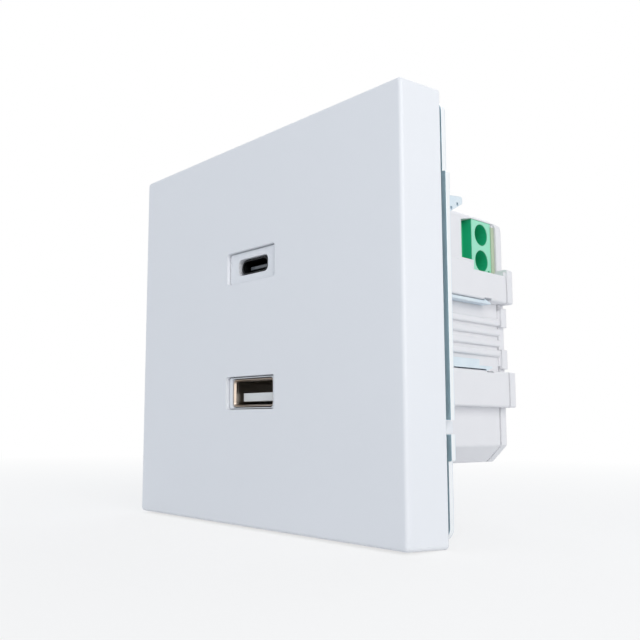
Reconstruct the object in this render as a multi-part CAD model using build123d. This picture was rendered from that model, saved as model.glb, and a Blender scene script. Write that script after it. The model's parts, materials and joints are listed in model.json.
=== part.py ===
"""A flush wall socket with one USB-C and one USB-A charging port.

Millimetres. Seen from the room, +X is right, +Z is up and +Y goes into the wall.
The origin is the middle of the steel frame's back face, which lies against the wall.
"""

from build123d import *
import os
from math import sqrt

# Front plate
PLATE_SIZE = 86.0
PLATE_DEPTH = 10.8
PLATE_DRAFT = 0.5
PLATE_WALL = 2.0
PLATE_CORNER = 1.0
PLATE_EDGE = 0.8
PLATE_LIFT = 3.1
POST_RADIUS = 2.5
POST_CORE = 1.2
POST_INSET = 8.0
WEB_THICKNESS = 1.2

# Port windows in the plate
PORT_RISE = 14.0
WINDOW_WIDTH = 16.1
WINDOW_HEIGHT = 7.2
WINDOW_CORNER = 0.6
INSERT_RECESS = 1.5

# Snap legs that hold the plate on the frame
LEG_OFFSET = 21.2
LEG_WIDTH = 2.2
LEG_THICKNESS = 1.5
LEG_REACH = 1.7
BARB_DEPTH = 1.1

# Stamped steel frame
FRAME_INSET = 1.0
FRAME_SHEET = 1.2
FRAME_CORNER = 2.7
SHOULDER_STEP = 0.7
SHOULDER_HALF = 27.4
FIXING_SPACING = 60.3
FIXING_RADIUS = 2.1
FIXING_SLOT = 6.6
LUG_LOW = 19.6
LUG_HIGH = 22.6
LUG_TIP_LOW = 21.8
LUG_TIP_HIGH = 23.2
LUG_REACH = 4.0
LUG_ROUND = 0.5
LUG_HOLE = 0.35
LUG_HOLE_INSET = 0.55
LUG_HOLE_SHARES = (0.1, 0.6)

# Spring clips between the frame and the module
CLIP_SHEET = 0.7
CLIP_RISE = 7.6
CLIP_WIDTH = 2.3
CLIP_FOOT = 13.4
CLIP_SHORT_OF_BACK = 6.4
CLIP_HOOK = 0.4
CLIP_HOOK_LENGTH = 2.4
CLIP_FLANGE = 0.45
CLIP_FLANGE_RISE = 1.7

# Charger module
BODY_WIDTH = 50.5
BODY_HEIGHT = 58.8
BODY_TOP_ROUND = 3.0
BODY_BOTTOM_BEVEL = 4.0
BODY_BOTTOM_EDGE = 1.0
MODULE_DEPTH = 42.3
WALL = 1.8
COVER_THICKNESS = 1.8
COVER_GAP = 1.0
COVER_EDGE = 0.6
LID_THICKNESS = 2.8
LID_FLOOR = 1.3
LID_SHADOW_GAP = 0.6
TOP_SLOPE_RUN = 7.4
TOP_SLOPE_DROP = 1.4

# Side arms and ribs of the module
ARM_LOW = 8.2
ARM_HIGH = 16.5
ARM_OUT = 2.75
ARM_EDGE = 0.5
RIB_RISES = (1.3, 3.7)
RIB_HEIGHT = 1.65
RIB_OUT = 0.85
RIB_START = 3.0

# Screws that hold the rear lid
LID_SCREW_RADIUS = 1.25
LID_SCREW_LENGTH = 11.0
LID_HEAD_RADIUS = 2.3
LID_HEAD_HEIGHT = 1.2
BOSS_RADIUS = 3.0
BOSS_LENGTH = 20.0
BOSS_TOP_INSET = 7.0
BOSS_BOTTOM_INSET = 8.0
TOP_BOSS_X = 7.5

# Circuit boards
PORT_BOARD_FRONT = 1.0
PORT_BOARD_THICKNESS = 1.6
POWER_BOARD_THICKNESS = 1.2
POWER_BOARD_SETBACK = 0.8
POWER_BOARD_RISE = 3.2
BOARD_TAB_REACH = 0.25
BOARD_TAB_DROP = 0.8
RISER_THICKNESS = 1.2
RISER_HEIGHT = 12.0
LEDGE = 1.5
PIN_TAIL = 0.9

# Two-pole mains terminal
POLE_PITCH = 6.35
TERMINAL_DEPTH = 11.6
TERMINAL_LENGTH = 12.4
TERMINAL_END_WALL = 0.15
WIRE_FACE_DEPTH = 7.7
WIRE_FACE_STEP = 2.6
WIRE_FACE_RECESS = 0.65
WIRE_HOLE_RADIUS = 2.6
WIRE_HOLE_DEPTH = 4.2
WIRE_NECK_RADIUS = 1.2
MARK_RADIUS = 0.4
MARK_DEPTH = 0.5
MARK_INSET = 0.9
ROOF = 1.35
POCKET_GAP = 1.2
POCKET_SILL = 2.9
POCKET_LIP = 1.1
CLAMP_SCREW_RADIUS = 1.5
CLAMP_HEAD_RADIUS = 2.0
CLAMP_HEAD_HEIGHT = 1.6
CLAMP_HEAD_SINK = 0.6
CLAMP_TRAVEL = 2.0
CAGE_LENGTH = 4.8
CAGE_WIDTH = 4.8
CAGE_TOP = 1.3
CAGE_WALL = 0.7
CAGE_FLOOR = 1.0
CAGE_WEB = 0.6
BAR_THICKNESS = 0.8
BAR_WIDTH = 2.6
DRIVER_HOLE = 2.3
DRIVER_TUBE = 3.3

# Converter parts on the two boards
SWITCH_WIDTH = 10.0
SWITCH_DEPTH = 4.4
SWITCH_HEIGHT = 15.0
SINK_WIDTH = 15.0
SINK_SHEET = 1.2
SINK_HEIGHT = 17.0
SINK_LIP = 2.4
CORE_WIDTH = 18.0
CORE_HEIGHT = 16.0
CORE_DEPTH = 17.0
CORE_LEG = 4.0
BOBBIN_FLANGE = 0.8
CORE_X = -8.0
CORE_Z = -3.0
BULK_RADIUS = 5.0
BULK_HEIGHT = 21.0
BULK_PLACES = ((-15.0, 14.8), (-4.0, 19.5))
OUTPUT_RADIUS = 4.0
OUTPUT_HEIGHT = 13.0
OUTPUT_PLACES = ((-12.6, -18.6), (-3.6, -18.6))
CHOKE_RADIUS = 6.6
CHOKE_HOLE = 3.0
CHOKE_HEIGHT = 7.0
CHOKE_X = 12.0
CHOKE_Z = -14.0
FILM_SIZE = (13.0, 6.0, 12.0)
FILM_X = 14.0
FILM_Z = -2.0
DISC_RADIUS = 4.5
DISC_THICKNESS = 3.8
FUSE_SIZE = (8.4, 4.0, 7.8)
FUSE_X = 6.5
FUSE_Z = 16.8
BRIDGE_SIZE = (8.4, 6.4, 3.2)
BRIDGE_X = 8.0
BRIDGE_Z = 7.6
INDUCTOR_SIZE = 7.0
INDUCTOR_HEIGHT = 4.2
CHIP_SIZE = (5.0, 6.0, 1.6)

# USB-A receptacle
A_WIDTH = 13.1
A_HEIGHT = 5.7
A_CORNER = 0.7
A_HOLE_WIDTH = 14.1
A_HOLE_HEIGHT = 6.4
A_TONGUE_WIDTH = 11.1
A_TONGUE_HEIGHT = 1.84
A_TONGUE_GAP = 0.75
A_CONTACTS = (-3.5, -1.0, 1.0, 3.5)
A_CONTACT_WIDTH = 1.0
A_CONTACT_HEIGHT = 0.3

# USB-C receptacle
C_WIDTH = 8.94
C_HEIGHT = 3.26
C_HOLE_WIDTH = 10.0
C_HOLE_HEIGHT = 3.7
C_HOLE_CORNER = 1.1
C_TONGUE_WIDTH = 6.7
C_TONGUE_HEIGHT = 0.7
C_CONTACT_COUNT = 12
C_CONTACT_PITCH = 0.5
C_CONTACT_WIDTH = 0.25
C_CONTACT_HEIGHT = 0.1

# Both receptacles
SHELL_SHEET = 0.3
SHELL_SETBACK = 0.6
TONGUE_SETBACK = 1.0
RECEPTACLE_BACK_WALL = 2.2

# Clearances
WINDOW_GAP = 0.2
FRAME_GAP = 0.3
MOULD_GAP = 0.1
THREAD_GAP = 0.05
PIN_GAP = 0.1

# Places that follow from the sizes
PLATE_BACK = -PLATE_LIFT
PLATE_FRONT = PLATE_BACK - PLATE_DEPTH
PLATE_INNER = PLATE_FRONT + PLATE_WALL
PLATE_HALF = PLATE_SIZE / 2
INSERT_FACE = PLATE_FRONT + INSERT_RECESS
COVER_FACE = PLATE_INNER + COVER_GAP
COVER_BACK = COVER_FACE + COVER_THICKNESS
FRAME_HALF = PLATE_HALF - FRAME_INSET
SHOULDER_OUT = FRAME_HALF + SHOULDER_STEP
LEG_OUTER = PLATE_HALF - PLATE_WALL
LEG_INNER = LEG_OUTER - LEG_THICKNESS
NOTCH_BOTTOM = LEG_INNER - FRAME_GAP
BODY_HALF = BODY_WIDTH / 2
BODY_TOP = BODY_HEIGHT / 2
LID_BACK = MODULE_DEPTH + LID_THICKNESS
LID_INNER = LID_BACK - LID_FLOOR
ARM_FACE = BODY_HALF + ARM_OUT
CLIP_NEAR = CLIP_RISE - CLIP_SHEET / 2
CLIP_FAR = CLIP_RISE + CLIP_SHEET / 2
CLIP_END = MODULE_DEPTH - CLIP_SHORT_OF_BACK
CLIP_HOOK_START = CLIP_END - CLIP_HOOK_LENGTH
CLIP_INNER = BODY_HALF + FRAME_GAP
PORT_BOARD_BACK = PORT_BOARD_FRONT + PORT_BOARD_THICKNESS
POWER_BOARD_FRONT = MODULE_DEPTH - POWER_BOARD_SETBACK
POWER_BOARD_BACK = POWER_BOARD_FRONT + POWER_BOARD_THICKNESS
BOARD_HALF = BODY_HALF - WALL - FRAME_GAP
POWER_BOARD_TOP = BODY_TOP - WALL - TOP_SLOPE_DROP
POWER_BOARD_BOTTOM = POWER_BOARD_RISE + WALL - BODY_TOP
SHELL_MOUTH = INSERT_FACE + SHELL_SETBACK
TONGUE_TIP = SHELL_MOUTH + TONGUE_SETBACK
RECEPTACLE_WALL = PORT_BOARD_FRONT - RECEPTACLE_BACK_WALL
PORT_PIN_END = PORT_BOARD_BACK + PIN_TAIL
TERMINAL_FACE = BODY_HALF - WIRE_FACE_RECESS
TERMINAL_INNER = TERMINAL_FACE - TERMINAL_LENGTH
TERMINAL_STEP = TERMINAL_FACE - WIRE_FACE_STEP
BOARD_TAB = TERMINAL_FACE + BOARD_TAB_REACH
TERMINAL_FRONT = POWER_BOARD_FRONT - TERMINAL_DEPTH
POCKET_START = TERMINAL_FRONT - POCKET_GAP
WIRE_FACE_FRONT = POWER_BOARD_FRONT - WIRE_FACE_DEPTH
TERMINAL_TOP = BODY_TOP - ROOF - MOULD_GAP / 2
TERMINAL_BOTTOM = TERMINAL_TOP - 2 * POLE_PITCH - 2 * TERMINAL_END_WALL
BOARD_TAB_TOP = TERMINAL_TOP - BOARD_TAB_DROP
POLES = {
    "upper": TERMINAL_TOP - TERMINAL_END_WALL - POLE_PITCH / 2,
    "lower": TERMINAL_BOTTOM + TERMINAL_END_WALL + POLE_PITCH / 2,
}
WIRE_CENTRE = (WIRE_FACE_FRONT + POWER_BOARD_FRONT) / 2
CAGE_FAR = TERMINAL_FACE - WIRE_HOLE_DEPTH - CAGE_WEB - FRAME_GAP
CAGE_NEAR = CAGE_FAR - CAGE_LENGTH
CLAMP_X = (CAGE_NEAR + CAGE_FAR) / 2
HEAD_FRONT = TERMINAL_FRONT + CLAMP_HEAD_SINK
HEAD_BACK = HEAD_FRONT + CLAMP_HEAD_HEIGHT
SEAT_FRONT = HEAD_BACK + MOULD_GAP
CAGE_ROOM_FRONT = SEAT_FRONT + CAGE_WALL
CAGE_FRONT = CAGE_ROOM_FRONT + FRAME_GAP + CLAMP_TRAVEL
BAR_FRONT = CAGE_FRONT + CAGE_TOP + FRAME_GAP
BAR_BACK = BAR_FRONT + BAR_THICKNESS
CAGE_BACK = POWER_BOARD_FRONT - FRAME_GAP
WIRE_GAP_CENTRE = (BAR_BACK + CAGE_BACK - CAGE_FLOOR) / 2
SIDE_BOSS = BODY_HALF - WALL - BOSS_RADIUS + MOULD_GAP
TOP_BOSS = BODY_TOP - WALL - BOSS_RADIUS + MOULD_GAP
LID_SCREWS = (
    (-SIDE_BOSS, BODY_TOP - BOSS_TOP_INSET),
    (TOP_BOSS_X, TOP_BOSS),
    (-SIDE_BOSS, BOSS_BOTTOM_INSET - BODY_TOP),
    (SIDE_BOSS, BOSS_BOTTOM_INSET - BODY_TOP),
)


def block(x, y, z):
    """A box between two limits on each axis."""
    limits = (x, y, z)
    size = [high - low for low, high in limits]
    middle = [(high + low) / 2 for low, high in limits]
    return Pos(*middle) * Box(*size)


def prism(sketch, front, back):
    """A sketch drawn in X and Z, extruded between two depths."""
    return extrude(Plane.XZ.offset(-front) * sketch, amount=back - front, dir=(0, 1, 0))


def side_prism(sketch, left, right):
    """A sketch drawn in Y and Z, extruded from left to right."""
    return extrude(Plane.YZ.offset(left) * sketch, amount=right - left, dir=(1, 0, 0))


def top_prism(sketch, low, high):
    """A sketch drawn in X and Y, extruded upwards."""
    return extrude(Plane.XY.offset(low) * sketch, amount=high - low, dir=(0, 0, 1))


def rod(x, z, radius, front, back):
    """A round bar along Y."""
    return prism(Pos(x, z) * Circle(radius), front, back)


def outline(*points):
    """A polygon through the points as they are given."""
    return Polygon(*points, align=None)


def both_sides(shape):
    """A shape and its mirror image on the other side of the socket."""
    return shape + mirror(shape, about=Plane.YZ)


def group(shapes):
    """Separate solids kept together as one piece list."""
    return Compound([solid for shape in shapes for solid in shape.solids()])


def body_outline(grow=0.0):
    """The module's front view, with rounded top corners and bevelled bottom ones."""
    box = Rectangle(BODY_WIDTH + 2 * grow, BODY_HEIGHT + 2 * grow)
    corners = box.vertices().sort_by(Axis.Y)
    lower = chamfer(corners[:2], BODY_BOTTOM_BEVEL + grow * (2 - sqrt(2)))
    tops = lower.vertices().group_by(Axis.Y)[-1]
    rounded = fillet(tops, max(BODY_TOP_ROUND + grow, MOULD_GAP))
    bevels = rounded.vertices().sort_by(Axis.Y)[:4]
    return fillet(bevels, BODY_BOTTOM_EDGE)


def flank(inset=0.0):
    """The module's side view as a slab, with the rear top edge sloped off."""
    start = COVER_FACE - PLATE_DEPTH
    side = outline(
        (start, BODY_TOP),
        (LID_BACK - TOP_SLOPE_RUN, BODY_TOP),
        (LID_BACK, BODY_TOP - TOP_SLOPE_DROP),
        (LID_BACK, -BODY_TOP),
        (start, -BODY_TOP),
    )
    if inset:
        side = offset(side, -inset, kind=Kind.INTERSECTION)
    return side_prism(side, -BODY_WIDTH, BODY_WIDTH)


def port_windows(width, height, corner):
    """The same rounded rectangle at both ports."""
    shape = RectangleRounded(width, height, corner)
    return Pos(0, PORT_RISE) * shape + Pos(0, -PORT_RISE) * shape


def front_plate():
    """Moulded cover plate with drafted sides, corner posts and four snap legs."""
    face = PLATE_SIZE - 2 * PLATE_DRAFT
    inside = PLATE_SIZE - 2 * PLATE_WALL
    front = Plane.XZ.offset(-PLATE_FRONT) * RectangleRounded(face, face, PLATE_CORNER)
    back = Plane.XZ.offset(-PLATE_BACK) * RectangleRounded(PLATE_SIZE, PLATE_SIZE, PLATE_CORNER)
    plate = loft([front, back])
    plate = fillet(plate.faces().sort_by(Axis.Y)[0].edges(), PLATE_EDGE)
    plate -= prism(RectangleRounded(inside, inside, PLATE_CORNER), PLATE_INNER, PLATE_BACK)
    windows = port_windows(WINDOW_WIDTH, WINDOW_HEIGHT, WINDOW_CORNER)
    plate -= prism(windows, PLATE_FRONT, PLATE_INNER)
    reach = PLATE_HALF - POST_INSET
    leg = top_prism(
        outline(
            (LEG_OUTER, PLATE_INNER),
            (LEG_OUTER, LEG_REACH),
            (LEG_INNER + WEB_THICKNESS / 2, LEG_REACH),
            (LEG_INNER - BARB_DEPTH, MOULD_GAP),
            (LEG_INNER, MOULD_GAP),
            (LEG_INNER, PLATE_INNER),
        ),
        -LEG_OFFSET - LEG_WIDTH / 2,
        -LEG_OFFSET + LEG_WIDTH / 2,
    )
    for turn in range(4):
        spin = Rot(0, 90 * turn, 0)
        post = rod(reach, reach, POST_RADIUS, PLATE_INNER, -FRAME_SHEET)
        web = block(
            (reach, LEG_OUTER),
            (PLATE_INNER, PLATE_BACK),
            (reach - WEB_THICKNESS / 2, reach + WEB_THICKNESS / 2),
        )
        post = post + web - rod(reach, reach, POST_CORE, PLATE_INNER + PLATE_WALL, 0)
        plate += spin * (post + leg)
    return plate


def frame_lug():
    """Ear bent back from the frame's side, tapered to a rounded tip."""
    strip = outline(
        (SHOULDER_OUT - 3 * FRAME_SHEET, -FRAME_SHEET),
        (SHOULDER_OUT, -FRAME_SHEET),
        (SHOULDER_OUT, LUG_REACH),
        (SHOULDER_OUT - FRAME_SHEET, LUG_REACH),
        (SHOULDER_OUT - FRAME_SHEET, 0),
        (SHOULDER_OUT - 3 * FRAME_SHEET, 0),
    )
    bend = strip.vertices().sort_by(lambda v: v.X - v.Y)[-1]
    bent = top_prism(fillet(bend, FRAME_SHEET), LUG_LOW, LUG_TIP_HIGH)
    ear = outline(
        (-FRAME_SHEET, LUG_LOW),
        (0, LUG_LOW),
        (LUG_REACH, LUG_TIP_LOW),
        (LUG_REACH, LUG_TIP_HIGH),
        (-FRAME_SHEET, LUG_HIGH),
    )
    tip = ear.vertices().sort_by(Axis.X)[-2:]
    ear = fillet(tip, LUG_ROUND)
    for share in LUG_HOLE_SHARES:
        edge = LUG_LOW + (LUG_TIP_LOW - LUG_LOW) * share
        ear -= Pos(share * LUG_REACH, edge + LUG_HOLE_INSET) * Circle(LUG_HOLE)
    return bent & side_prism(ear, 0, SHOULDER_OUT)


def steel_frame():
    """Stamped mounting frame that the module, plate and fixing screws share."""
    sheet = RectangleRounded(2 * FRAME_HALF, 2 * FRAME_HALF, FRAME_CORNER)
    sheet += RectangleRounded(2 * SHOULDER_OUT, 2 * SHOULDER_HALF, SHOULDER_STEP / 2)
    sheet -= body_outline(FRAME_GAP)
    for side in (-1, 1):
        sheet -= Pos(side * FIXING_SPACING / 2, 0) * SlotOverall(FIXING_SLOT, 2 * FIXING_RADIUS)
    notch_width = LEG_WIDTH + 2 * WINDOW_GAP
    notch_end = SHOULDER_OUT + FRAME_SHEET
    notch_middle = (NOTCH_BOTTOM + notch_end) / 2
    for turn in range(4):
        notch = Pos(notch_middle, -LEG_OFFSET) * Rectangle(notch_end - NOTCH_BOTTOM, notch_width)
        sheet -= Rot(0, 0, 90 * turn) * notch
    frame = prism(sheet, -FRAME_SHEET, 0)
    lug = frame_lug()
    return frame + lug + Rot(0, 180, 0) * lug


def spring_clip():
    """Bent strip: a foot under the module's arm and a long hooked leg beside it."""
    strip = outline(
        (0, CLIP_NEAR),
        (CLIP_END, CLIP_NEAR),
        (CLIP_END, CLIP_FAR - CLIP_SHEET / 2),
        (CLIP_HOOK_START, CLIP_FAR + CLIP_HOOK),
        (CLIP_HOOK_START, CLIP_FAR),
        (CLIP_SHEET, CLIP_FAR),
        (CLIP_SHEET, CLIP_FOOT),
        (0, CLIP_FOOT),
    )
    inner = strip.vertices().sort_by_distance((CLIP_SHEET, CLIP_FAR))[0]
    strip = fillet(inner, CLIP_SHEET / 4)
    outer = strip.vertices().sort_by_distance((0, CLIP_NEAR))[0]
    strip = fillet(outer, CLIP_SHEET)
    return side_prism(strip, CLIP_INNER, CLIP_INNER + CLIP_WIDTH)


def clip_flange():
    """Stiffening flange on a lower clip's leg, beside the ribs."""
    return block(
        (CLIP_INNER, CLIP_INNER + CLIP_FLANGE),
        (2 * CLIP_SHEET, CLIP_HOOK_START),
        (-CLIP_RISE, CLIP_FLANGE_RISE - CLIP_NEAR),
    )


def clips():
    """The four spring clips, by name."""
    upper = spring_clip()
    lower = mirror(upper, about=Plane.XY) + clip_flange()
    return {
        "clip_upper_right": upper,
        "clip_lower_right": lower,
        "clip_upper_left": mirror(upper, about=Plane.YZ),
        "clip_lower_left": mirror(lower, about=Plane.YZ),
    }


def arm_box(low, high, start, end):
    """One side arm's outer block on the right, rooted in the module's wall."""
    root = BODY_HALF - WALL / 2
    middle = Pos((root + ARM_FACE) / 2, (low + high) / 2)
    return prism(middle * RectangleRounded(ARM_FACE - root, high - low, ARM_EDGE), start, end)


def arm():
    """A hollow side arm with room for the clip's foot and a catch for its hook."""
    shape = arm_box(ARM_LOW, ARM_HIGH, 0, MODULE_DEPTH)
    room = (BODY_HALF, ARM_FACE)
    foot_end = CLIP_FOOT + FRAME_GAP
    shape -= block(room, (0, CLIP_SHEET + MOULD_GAP), (ARM_LOW, foot_end))
    catch = (CLIP_HOOK_START - MOULD_GAP, CLIP_END + FRAME_GAP)
    shape -= block(room, catch, (ARM_LOW, CLIP_FAR + CLIP_HOOK + FRAME_GAP))
    return shape


def arm_core():
    """The space inside an arm, open to the module."""
    return block(
        (BODY_HALF - WALL - MOULD_GAP, ARM_FACE - WALL + ARM_EDGE),
        (2 * WALL, MODULE_DEPTH),
        (CLIP_FAR + CLIP_HOOK + FRAME_GAP + WALL / 2, TERMINAL_BOTTOM - FRAME_GAP - WALL),
    )


def side_ribs():
    """Rows of low ribs between the arms, along the module's side."""
    width = WALL + RIB_OUT
    rib = RectangleRounded(width, RIB_HEIGHT, RIB_HEIGHT / 3)
    middle = BODY_HALF + RIB_OUT - width / 2
    rows = Sketch()
    for rise in RIB_RISES:
        rows += Pos(middle, rise) * rib + Pos(middle, -rise) * rib
    return prism(rows, RIB_START, MODULE_DEPTH)


def terminal_room():
    """The opening at the upper right where the terminal shows, with a sill and a sloped lip."""
    low = TERMINAL_BOTTOM - FRAME_GAP
    high = TERMINAL_TOP + MOULD_GAP / 2
    outer = ARM_FACE + ARM_OUT
    ledge = TERMINAL_STEP + FRAME_GAP
    step = WIRE_FACE_FRONT - FRAME_GAP
    room = block((TERMINAL_INNER - FRAME_GAP, outer), (POCKET_START, MODULE_DEPTH), (low, high))
    sill = block((ledge, BODY_HALF), (POCKET_START, step), (low, TERMINAL_BOTTOM + POCKET_SILL))
    lip = outline((POCKET_START, high - POCKET_LIP), (step, high), (POCKET_START, high))
    return room - sill - side_prism(lip, ledge, outer)


def board_ledges():
    """Wall ledges that the two circuit boards seat on."""
    inner = (BODY_HALF - WALL - LEDGE, BODY_HALF - WALL / 2)
    half = RISER_HEIGHT / 2 + LEDGE
    power = block(inner, (POWER_BOARD_FRONT - 4 * LEDGE, POWER_BOARD_FRONT), (-half, half))
    port = block(inner, (PORT_BOARD_BACK, PORT_BOARD_BACK + 4 * LEDGE), (-half, half))
    return both_sides(power + port)


def lid_bosses():
    """Screw bosses for the lid, along the module's walls."""
    bosses = Part()
    for x, z in LID_SCREWS:
        bosses += rod(x, z, BOSS_RADIUS, MODULE_DEPTH - BOSS_LENGTH, MODULE_DEPTH)
    return bosses


def housing():
    """Moulded module housing, open at the front and the back."""
    body = prism(body_outline(), COVER_BACK, MODULE_DEPTH) & flank()
    inside = prism(body_outline(-WALL), COVER_BACK, MODULE_DEPTH) & flank(WALL)
    right_arms = arm() + mirror(arm(), about=Plane.XY)
    cores = arm_core() + mirror(arm_core(), about=Plane.XY)
    shape = body + both_sides(right_arms + side_ribs())
    shape -= inside + both_sides(cores)
    tubes = Part()
    channels = Part()
    tube_start = COVER_BACK + 2 * WALL
    for z in POLES.values():
        tubes += rod(CLAMP_X, z, DRIVER_TUBE, tube_start, TERMINAL_FRONT - FRAME_GAP)
        channels += rod(CLAMP_X, z, DRIVER_HOLE, tube_start, TERMINAL_FRONT)
    shape += (tubes + lid_bosses() + board_ledges()) & body
    shape -= channels + terminal_room()
    for x, z in LID_SCREWS:
        pilot = LID_SCREW_RADIUS + THREAD_GAP
        shape -= rod(x, z, pilot, MODULE_DEPTH - LID_SCREW_LENGTH - WALL, MODULE_DEPTH)
    return shape


def front_cover():
    """The module's front, with a raised pad round each port."""
    cover = prism(body_outline(), COVER_FACE, COVER_BACK)
    cover = chamfer(cover.faces().sort_by(Axis.Y)[0].edges(), COVER_EDGE)
    pads = port_windows(WINDOW_WIDTH - 2 * WINDOW_GAP, WINDOW_HEIGHT - 2 * WINDOW_GAP, WINDOW_CORNER)
    cover += prism(pads, INSERT_FACE, COVER_BACK)
    lip = body_outline(-WALL - MOULD_GAP) - body_outline(-WALL - MOULD_GAP - WEB_THICKNESS)
    cover += prism(lip, COVER_BACK, COVER_BACK + WALL)
    side = BOARD_HALF - 2 * POST_RADIUS
    rise = BODY_TOP - WALL - 2 * POST_RADIUS
    for x, z in ((-side, rise), (-side, -rise), (side, -rise), (side / 3, rise)):
        cover += rod(x, z, POST_RADIUS, COVER_BACK, PORT_BOARD_FRONT)
    c_hole = RectangleRounded(C_HOLE_WIDTH, C_HOLE_HEIGHT, C_HOLE_CORNER)
    cover -= prism(Pos(0, PORT_RISE) * c_hole, INSERT_FACE, COVER_BACK)
    a_hole = RectangleRounded(A_HOLE_WIDTH, A_HOLE_HEIGHT, A_CORNER)
    cover -= prism(Pos(0, -PORT_RISE) * a_hole, INSERT_FACE, COVER_BACK)
    for z in POLES.values():
        cover -= rod(CLAMP_X, z, DRIVER_HOLE, COVER_FACE, COVER_BACK)
    return cover


def lid_outline():
    """The lid's outline: the module's front view with its arms and rib ends."""
    shape = body_outline()
    arm_height = ARM_HIGH - ARM_LOW
    middle = (ARM_HIGH + ARM_LOW) / 2
    arms = RectangleRounded(2 * ARM_FACE, arm_height, ARM_EDGE)
    shape += Pos(0, middle) * arms + Pos(0, -middle) * arms
    rib_band = Rectangle(2 * (BODY_HALF + RIB_OUT), ARM_LOW - 2 * WALL)
    band_middle = ARM_LOW / 2 + WALL / 2
    return shape + Pos(0, band_middle) * rib_band + Pos(0, -band_middle) * rib_band


def rear_lid():
    """Screwed rear lid with a shadow gap round its edge."""
    edge = lid_outline()
    lid = prism(edge, MODULE_DEPTH, LID_BACK)
    groove = edge - offset(edge, -LID_SHADOW_GAP, kind=Kind.INTERSECTION)
    lid -= prism(groove, MODULE_DEPTH, MODULE_DEPTH + LID_SHADOW_GAP)
    lid &= flank()
    room = prism(body_outline(-WALL), MODULE_DEPTH, LID_INNER) & flank(LID_FLOOR)
    pads = Part()
    for x, z in LID_SCREWS:
        pads += rod(x, z, BOSS_RADIUS, MODULE_DEPTH, LID_INNER)
    for x in (-BOARD_HALF / 2, BOARD_HALF / 2):
        pads += rod(x, 0, POST_CORE, POWER_BOARD_BACK, LID_INNER)
    lid -= room - pads
    lid -= block(
        (TERMINAL_INNER - PIN_GAP, BOARD_TAB + PIN_GAP),
        (MODULE_DEPTH, POWER_BOARD_BACK + PIN_GAP),
        (TERMINAL_BOTTOM - PIN_GAP, BOARD_TAB_TOP + PIN_GAP),
    )
    sink = LID_BACK - LID_HEAD_HEIGHT - MOULD_GAP
    for x, z in LID_SCREWS:
        lid -= rod(x, z, LID_SCREW_RADIUS + PIN_GAP, MODULE_DEPTH, LID_BACK)
        lid -= rod(x, z, LID_HEAD_RADIUS + PIN_GAP, sink, LID_BACK)
    return lid


def lid_screws():
    """Four self-tapping screws with cross-slotted heads."""
    seat = LID_BACK - LID_HEAD_HEIGHT - MOULD_GAP
    screws = []
    for x, z in LID_SCREWS:
        screw = rod(x, z, LID_HEAD_RADIUS, seat, seat + LID_HEAD_HEIGHT)
        screw += rod(x, z, LID_SCREW_RADIUS, seat - LID_SCREW_LENGTH, seat)
        slot_end = (seat + LID_HEAD_HEIGHT / 2, LID_BACK)
        wide = LID_HEAD_RADIUS / 2
        thin = LID_SCREW_RADIUS / 4
        screw -= block((x - wide, x + wide), slot_end, (z - thin, z + thin))
        screw -= block((x - thin, x + thin), slot_end, (z - wide, z + wide))
        screws.append(screw)
    return group(screws)


def a_tongue_top():
    """Height of the USB-A tongue's contact face; the tongue is low in the port."""
    return -PORT_RISE - A_HEIGHT / 2 + SHELL_SHEET + A_TONGUE_GAP + A_TONGUE_HEIGHT


def a_contact_bars(grow):
    """The four USB-A contacts, or the slots that they pass through."""
    top = a_tongue_top()
    half = A_CONTACT_WIDTH / 2 + grow
    tip = TONGUE_TIP + SHELL_SHEET
    return [
        block((x - half, x + half), (tip, PORT_PIN_END), (top - A_CONTACT_HEIGHT - grow, top + grow))
        for x in A_CONTACTS
    ]


def usb_a_shell():
    """Drawn steel shell with spring fingers cut in its wide walls."""
    centre = Pos(0, -PORT_RISE)
    tube = RectangleRounded(A_WIDTH, A_HEIGHT, A_CORNER)
    bore = RectangleRounded(A_WIDTH - 2 * SHELL_SHEET, A_HEIGHT - 2 * SHELL_SHEET, A_CORNER - SHELL_SHEET)
    shell = prism(centre * (tube - bore), SHELL_MOUTH, PORT_BOARD_FRONT)
    finger = A_WIDTH / 4
    start = TONGUE_TIP + TONGUE_SETBACK
    end = RECEPTACLE_WALL - TONGUE_SETBACK
    high = (-PORT_RISE - A_HEIGHT, -PORT_RISE + A_HEIGHT)
    for x in (-finger, finger):
        for edge in (x - finger / 2, x + finger / 2):
            shell -= block((edge, edge + SHELL_SHEET), (start, end), high)
        shell -= block((x - finger / 2, x + finger / 2), (start, start + SHELL_SHEET), high)
    return shell


def usb_a_tongue():
    """Moulded insulator: the back wall and the tongue of the USB-A port."""
    wall = RectangleRounded(
        A_WIDTH - 2 * SHELL_SHEET - PIN_GAP, A_HEIGHT - 2 * SHELL_SHEET - PIN_GAP, A_CORNER - SHELL_SHEET
    )
    shape = prism(Pos(0, -PORT_RISE) * wall, RECEPTACLE_WALL, PORT_BOARD_FRONT)
    top = a_tongue_top()
    half = A_TONGUE_WIDTH / 2
    shape += block((-half, half), (TONGUE_TIP, RECEPTACLE_WALL), (top - A_TONGUE_HEIGHT, top))
    for bar in a_contact_bars(0):
        shape -= bar
    return shape


def c_contact_bars():
    """The two rows of USB-C contacts on the tongue."""
    bars = []
    first = -C_CONTACT_PITCH * (C_CONTACT_COUNT - 1) / 2
    half = C_CONTACT_WIDTH / 2
    face = C_TONGUE_HEIGHT / 2
    for number in range(C_CONTACT_COUNT):
        x = first + number * C_CONTACT_PITCH
        for inner, outer in ((face - C_CONTACT_HEIGHT, face), (-face, C_CONTACT_HEIGHT - face)):
            z = (PORT_RISE + inner, PORT_RISE + outer)
            bars.append(block((x - half, x + half), (TONGUE_TIP + SHELL_SHEET, PORT_BOARD_FRONT), z))
    return bars


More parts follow.
